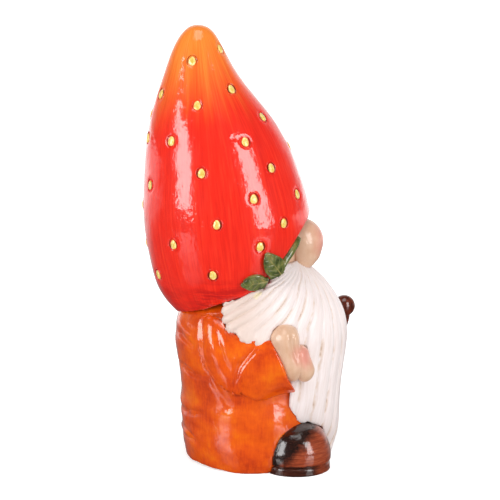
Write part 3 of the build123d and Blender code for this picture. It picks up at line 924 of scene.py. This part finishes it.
# %% [markdown]
# ## Boots
# Dark brown stain was brushed thick round the tops of the boots and thinner on the toes, where the red
# clay shows through in level strokes. Glaze has filled the groove over the sole. A slanting level and
# the height of the groove say where the stain is thick, and noise makes both edges ragged.


# %% Brown stain
def boot_brown():
    material, tree, place = start_material("brown_stain_under_glaze")
    strokes = streaks(tree, place, (17, 17, 1.3), detail=4, rough=0.7)
    thin = add(tree, "ValToRGB", {0: strokes}, [(0.28, "#6A2814"), (0.50, "#974022"), (0.74, "#B65C38")])
    thick = add(tree, "ValToRGB", {0: strokes}, [(0.30, "#140704"), (0.60, "#2C130B"), (0.80, "#47210F")])
    spots = streaks(tree, place, (11, 11, 9), detail=4)
    _, back, height = add(tree, "SeparateXYZ", {0: place}).outputs

    slant = add(tree, "Math", {0: back, 1: 1.0, 2: height}, operation="MULTIPLY_ADD")
    ragged = add(tree, "Math", {0: spots, 1: 0.022, 2: slant}, operation="MULTIPLY_ADD")
    covered = add(tree, "MapRange", {0: ragged, 1: -0.017, 2: -0.003}, **EASED)
    groove = add(tree, "Math", {0: spots, 1: -0.006, 2: height}, operation="MULTIPLY_ADD")
    low = add(tree, "MapRange", {0: groove, 1: 0.0075, 2: 0.0055, 4: 0.9}, **EASED)
    behind = add(tree, "MapRange", {0: back, 1: -0.066, 2: -0.056, 3: 0.2}, **EASED)
    seam = add(tree, "Math", {0: low, 1: behind}, operation="MULTIPLY")
    both = add(tree, "Math", {0: covered, 1: seam}, operation="MAXIMUM")
    colour = add(tree, "Mix", {0: both, 6: thin, 7: thick}, **COLOURS)
    glaze(tree, colour, place, brush=strokes)
    return material


# %% Cast the boots and the soles
brown = boot_brown()
for hand in HANDS:
    boot = cast(f"{hand}_boot_glazed", f"{hand}_boot", grain=0.9, sponge=5)
    push(boot, lambda p: 0.35 + 0.7 * uneven(p, (19, 19, 15), 1.9))
    dress(boot, brown, "brown_glaze", f"{hand}_boot")
    sole = cast(f"{hand}_sole_glazed", f"{hand}_sole", grain=0.8, sponge=4)
    push(sole, lambda p: 0.35 + 0.35 * uneven(p, (15, 15, 15), 6.2))
    dress(sole, brown, "brown_glaze", f"{hand}_sole")

# %% [markdown]
# ## The walking stick
# The stick is a clay rod with a ball on top, stained chestnut in long upright strokes. It dried with a
# slight bow below the ball. The bow is a shift that fades out up and down the rod, which keeps the
# rod round, as bending it over a curve also would.

# %% Cast the stick
BOW_HEIGHT = 114
BOW_REACH = 20
BOW = 3.0                # millimetres forward


def stick_brown():
    material, tree, place = start_material("chestnut_stain_under_glaze")
    strokes = streaks(tree, place, (3, 3, 11), detail=4, rough=0.7)
    colour = add(tree, "ValToRGB", {0: strokes}, [
        (0.28, "#2B0F09"), (0.46, "#5A2212"), (0.66, "#7C3520"), (0.82, "#8E4630")])
    glaze(tree, colour, place, brush=strokes)
    return material


shaft = cast("stick_shaft_knotty", "stick_shaft", grain=0.7, sponge=4)
push(shaft, lambda p: 0.3 + 0.5 * uneven(p, (7, 7, 12), 2.7))
shift(shaft, lambda p: np.outer(near(p[:, 2], BOW_HEIGHT, BOW_REACH), (0, -BOW, 0)))
chestnut = stick_brown()
dress(shaft, chestnut, "brown_glaze", "stick_shaft")
knob = cast("stick_knob_glazed", "stick_knob", grain=0.6, sponge=6)
push(knob, lambda p: 0.2 + 0.4 * uneven(p, (11, 11, 11), 4.4))
dress(knob, chestnut, "brown_glaze", "stick_knob")

# %% [markdown]
# ## The bare foot
# A kiln shelf would stick to glaze, so the face that the figure stands on is wiped clean before firing. It
# shows the pale biscuit, matt and faintly gritty. This casting's shape is right, so it keeps its mesh.


# %% Biscuit
def biscuit():
    material, tree, place = start_material("bare_earthenware_biscuit")
    grit = streaks(tree, place, (0.9, 0.9, 0.9), detail=4)
    colour = add(tree, "ValToRGB", {0: grit}, [(0.3, "#CDB59C"), (0.5, "#DCC8B2"), (0.7, "#E5D5C3")])
    bump = add(tree, "Bump", {"Height": grit, "Distance": 0.15 * MM, "Strength": 0.7})
    shader = add(tree, "BsdfPrincipled", {
        "Base Color": colour, "Roughness": 0.85, "IOR": 1.5, "Normal": bump})
    add(tree, "OutputMaterial", {"Surface": shader})
    return material


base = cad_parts["base_slab"]
base.data.materials.clear()
base.data.materials.append(biscuit())
print(base.name, "wears", base.data.materials[0].name)

# %% [markdown]
# ## The studio
# Glaze shows whatever stands around it, so the studio is part of the finish. The table is white acrylic,
# a little dimmer near the figure, so that its shadow shows. In the glaze only the table's far side is
# bright. Light Path says who is looking, so a white table needn't light the figure any more.

# %% Floor
FLOOR_RADIUS = 9
bpy.ops.object.select_all(action="DESELECT")
bpy.ops.mesh.primitive_circle_add(vertices=96, radius=FLOOR_RADIUS, fill_type="NGON")
floor = bpy.context.object
floor.name = "floor"


def looks(tree):
    """1 for a look by reflection or through glass, and 1 for a look by the camera."""
    path = add(tree, "LightPath").outputs
    shiny = add(tree, "Math", {0: path["Is Glossy Ray"], 1: path["Is Transmission Ray"]},
                operation="MAXIMUM")
    return shiny, path["Is Camera Ray"]


def floor_white():
    material, tree, place = start_material("white_acrylic_table")
    across = add(tree, "SeparateXYZ", {0: place}).outputs[0]
    away = add(tree, "VectorMath", {0: place}, operation="LENGTH").outputs["Value"]
    shiny, direct = looks(tree)
    to_side = add(tree, "MapRange", {0: across, 1: 0.1, 2: 1.5}, **EASED)
    side = add(tree, "Math", {0: shiny, 1: to_side}, operation="MULTIPLY")
    seen = add(tree, "Math", {0: direct, 1: side}, operation="MAXIMUM")
    outwards = add(tree, "MapRange", {0: away, 1: 0.1, 2: 1.6, 3: 0.55}, **EASED)
    lit = add(tree, "Math", {0: seen, 1: outwards}, operation="MULTIPLY")
    white = add(tree, "Mix", {0: shiny, 6: "#ECECEC", 7: "#303030"}, **COLOURS)
    matt = add(tree, "BsdfDiffuse", {"Color": white})
    sheen = add(tree, "BsdfGlossy", {"Color": "#FFFFFF", "Roughness": 0.1})
    grazing = add(tree, "Fresnel", {"IOR": 1.45})
    polish = add(tree, "Math", {0: shiny, 1: grazing}, operation="MULTIPLY")
    top = add(tree, "MixShader", {0: polish, 1: matt, 2: sheen})
    glow = add(tree, "Emission", {"Color": "#FFFFFF", "Strength": lit})
    both = add(tree, "AddShader", {0: top, 1: glow})
    add(tree, "OutputMaterial", {"Surface": both})
    return material


floor.data.materials.append(floor_white())
print("floor:", 2 * FLOOR_RADIUS, "m across")

# %% [markdown]
# A pale room lights the figure softly from all sides. In the glaze, the side of the room ahead of the
# camera is bright and the rest is dark, which keeps the red deep.

# %% Room
ROOM_LIGHT = 0.50        # what the room gives to a matt surface
DARK_SIDE = 0.06         # how bright the dark part of the room is in the glaze
world = bpy.data.worlds.new("studio")
bpy.context.scene.world = world
world.use_nodes = True
room = world.node_tree
room.nodes.clear()
way = add(room, "TexCoord").outputs["Generated"]
across = add(room, "SeparateXYZ", {0: way}).outputs[0]
shiny, direct = looks(room)
in_glaze = add(room, "MapRange", {0: across, 1: 0.45, 2: 1.0, 3: DARK_SIDE}, **EASED)
unseen = add(room, "Mix", {0: shiny, 2: ROOM_LIGHT, 3: in_glaze}, data_type="FLOAT")
strength = add(room, "Mix", {0: direct, 2: unseen, 3: 1.0}, data_type="FLOAT")
sky = add(room, "Background", {"Color": "#FFFFFF", "Strength": strength})
add(room, "OutputWorld", {"Surface": sky})
print("room light:", ROOM_LIGHT)

# %% [markdown]
# Two tall softboxes draw the long bright bars down the hat, and a skylight rounds the top. An area lamp's
# shape is what the glaze reflects, so each is as tall and as wide as its bar should look.

# %% Softboxes
FIGURE_MIDDLE = Vector((0, 0, 0.22))


def aim(thing, target):
    """Turn a lamp or a camera to face a place."""
    thing.rotation_euler = (Vector(target) - thing.location).to_track_quat("-Z", "Y").to_euler()


def softbox(name, place, width, height, watts):
    """A rectangular lamp that faces the figure. Sizes are in metres."""
    bpy.ops.object.light_add(type="AREA", location=place)
    lamp = bpy.context.object
    lamp.name = name
    lamp.data.shape = "RECTANGLE"
    lamp.data.size = width
    lamp.data.size_y = height
    lamp.data.energy = watts
    aim(lamp, FIGURE_MIDDLE)
    print(name, width, "x", height, "m,", watts, "W")


softbox("softbox_back", (-0.73, 1.075, 0.55), 0.58, 0.82, 8.9)
softbox("softbox_front", (-0.885, -0.955, 0.62), 0.52, 1.1, 10)
softbox("skylight", (-0.33, 0, 1.7), 0.9, 1.0, 5.5)

# %% [markdown]
# The camera stands on the gnome's right, a little above it and well away, with a long lens, so that
# upright lines stay nearly parallel. The Standard view shows each stain about as its code is written.

# %% Camera
CAMERA_RISE = radians(12)
CAMERA_AWAY = 2.4
CAMERA_LENS = 188.5
AIM_AT = Vector((0, 0, 0.193))
bpy.ops.object.camera_add()
camera = bpy.context.object
camera.location = AIM_AT + CAMERA_AWAY * Vector((-cos(CAMERA_RISE), 0, sin(CAMERA_RISE)))
aim(camera, AIM_AT)
camera.data.lens = CAMERA_LENS
camera.data.sensor_width = 36
bpy.context.scene.camera = camera
bpy.context.scene.view_settings.view_transform = "Standard"
print("camera:", CAMERA_AWAY, "m away, lens", CAMERA_LENS, "mm")
